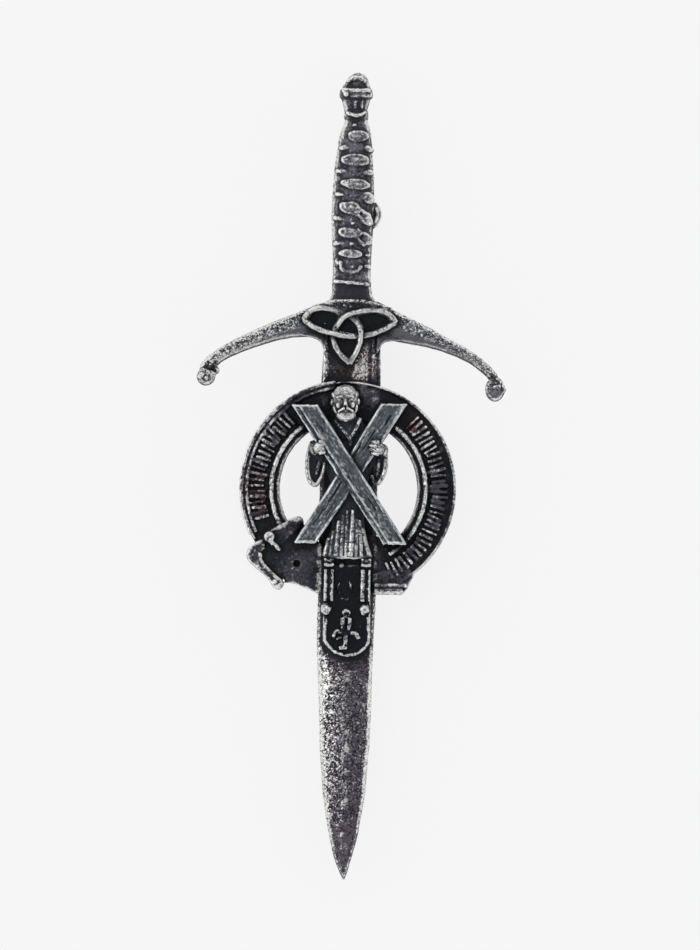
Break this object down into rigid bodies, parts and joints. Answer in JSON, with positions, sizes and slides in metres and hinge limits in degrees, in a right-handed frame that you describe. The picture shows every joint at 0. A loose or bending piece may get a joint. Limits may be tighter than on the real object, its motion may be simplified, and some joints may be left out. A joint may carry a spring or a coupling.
{
  "type": "kilt pin",
  "caption": "Sword-shaped kilt pin in antiqued cast metal, with a knot on its guard, a strap ring, a robed figure holding a saltire cross, and a brooch fitting on its back.",
  "frame": {"origin": "middle of the pin's outline, on the surface that the back fitting rests on", "axes": "+X across the guard to the viewer's right of the face, +Y from the blade's tip to the pommel, +Z out of the face; the pin lies face up on its back fitting"},
  "size_m": [0.0386, 0.101, 0.0097],
  "materials": {
    "antiqued_pewter": "cast pewter, blackened in the recesses and rubbed bright on the raised edges",
    "blackened_pewter": "cast pewter, mostly blackened, with bright rims and ribs",
    "slate_pewter": "cast pewter with a slate grey patina, fine lengthwise grain and bright arrises",
    "plated_steel": "plain plated steel, lightly dulled"
  },
  "bodies": {
    "root": {"sword": "antiqued_pewter", "strap_ring": "blackened_pewter", "figure": "antiqued_pewter", "saltire_cross": "slate_pewter", "locket": "blackened_pewter", "back_pin": "plated_steel"}
  },
  "joints": []
}
